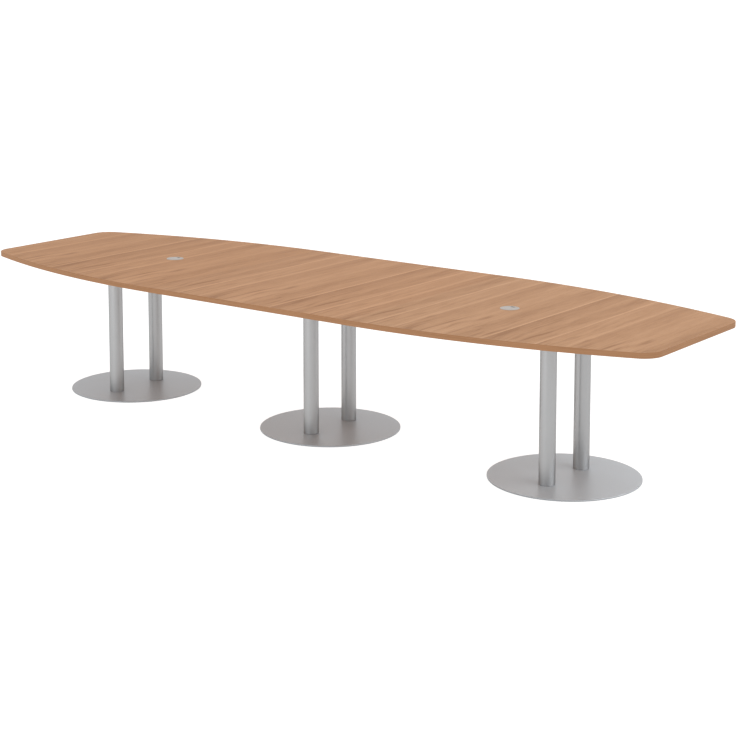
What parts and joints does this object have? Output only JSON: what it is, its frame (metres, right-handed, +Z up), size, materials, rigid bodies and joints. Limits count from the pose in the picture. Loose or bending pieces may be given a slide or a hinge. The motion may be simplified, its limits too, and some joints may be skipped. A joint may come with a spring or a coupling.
{
  "type": "conference table",
  "caption": "Boat-shaped conference table: wood-decor top in joined sections on twin-column pedestals with flat disc bases, and cable ports with turning lids.",
  "frame": {"origin": "on the floor under the middle of the table", "axes": "+X along the table's length, +Y to the rear long side, +Z up"},
  "size_m": [4, 1.3, 0.742],
  "materials": {
    "laminate": "satin melamine wood decor, grain across the table",
    "edge_band": "satin decor edge band",
    "silver_paint": "satin silver powder coat",
    "zinc_steel": "bright zinc plate",
    "port_plastic": "satin silver-grey plastic",
    "floor_rubber": "matt black"
  },
  "bodies": {
    "table": {"top_left_panel": "laminate", "top_centre_panel": "laminate", "top_right_panel": "laminate", "edge_band_left_end": "edge_band", "edge_band_right_end": "edge_band", "edge_band_front": "edge_band", "edge_band_rear": "edge_band", "base_disc_left": "silver_paint", "floor_pad_left": "floor_rubber", "column_left_front": "silver_paint", "tie_rod_left_front": "zinc_steel", "column_left_rear": "silver_paint", "tie_rod_left_rear": "zinc_steel", "mounting_plate_left": "silver_paint", "plate_screw_left_1": "zinc_steel", "plate_screw_left_2": "zinc_steel", "plate_screw_left_3": "zinc_steel", "plate_screw_left_4": "zinc_steel", "base_disc_centre": "silver_paint", "floor_pad_centre": "floor_rubber", "column_centre_front": "silver_paint", "tie_rod_centre_front": "zinc_steel", "column_centre_rear": "silver_paint", "tie_rod_centre_rear": "zinc_steel", "mounting_plate_centre": "silver_paint", "plate_screw_centre_1": "zinc_steel", "plate_screw_centre_2": "zinc_steel", "plate_screw_centre_3": "zinc_steel", "plate_screw_centre_4": "zinc_steel", "base_disc_right": "silver_paint", "floor_pad_right": "floor_rubber", "column_right_front": "silver_paint", "tie_rod_right_front": "zinc_steel", "column_right_rear": "silver_paint", "tie_rod_right_rear": "zinc_steel", "mounting_plate_right": "silver_paint", "plate_screw_right_1": "zinc_steel", "plate_screw_right_2": "zinc_steel", "plate_screw_right_3": "zinc_steel", "plate_screw_right_4": "zinc_steel", "joining_plate_left": "zinc_steel", "joining_screw_left_1": "zinc_steel", "joining_screw_left_2": "zinc_steel", "joining_screw_left_3": "zinc_steel", "joining_screw_left_4": "zinc_steel", "joining_screw_left_5": "zinc_steel", "joining_screw_left_6": "zinc_steel", "joining_plate_right": "zinc_steel", "joining_screw_right_1": "zinc_steel", "joining_screw_right_2": "zinc_steel", "joining_screw_right_3": "zinc_steel", "joining_screw_right_4": "zinc_steel", "joining_screw_right_5": "zinc_steel", "joining_screw_right_6": "zinc_steel", "cable_port_sleeve_left": "port_plastic", "cable_port_sleeve_right": "port_plastic"},
    "left_port_insert": {"cable_port_insert_left": "port_plastic"},
    "left_port_lid": {"cable_port_lid_left": "port_plastic"},
    "right_port_insert": {"cable_port_insert_right": "port_plastic"},
    "right_port_lid": {"cable_port_lid_right": "port_plastic"}
  },
  "joints": [
    {"name": "left_port_lift", "type": "slide", "parent": "table", "child": "left_port_insert", "axis": [0, 0, 1], "range_m": [0, 0.06]},
    {"name": "left_port_turn", "type": "hinge", "parent": "left_port_insert", "child": "left_port_lid", "pos_m": [-1.05, 0, 0.74], "axis": [0, 0, 1], "continuous": true},
    {"name": "right_port_lift", "type": "slide", "parent": "table", "child": "right_port_insert", "axis": [0, 0, 1], "range_m": [0, 0.06]},
    {"name": "right_port_turn", "type": "hinge", "parent": "right_port_insert", "child": "right_port_lid", "pos_m": [1.05, 0, 0.74], "axis": [0, 0, 1], "continuous": true}
  ]
}
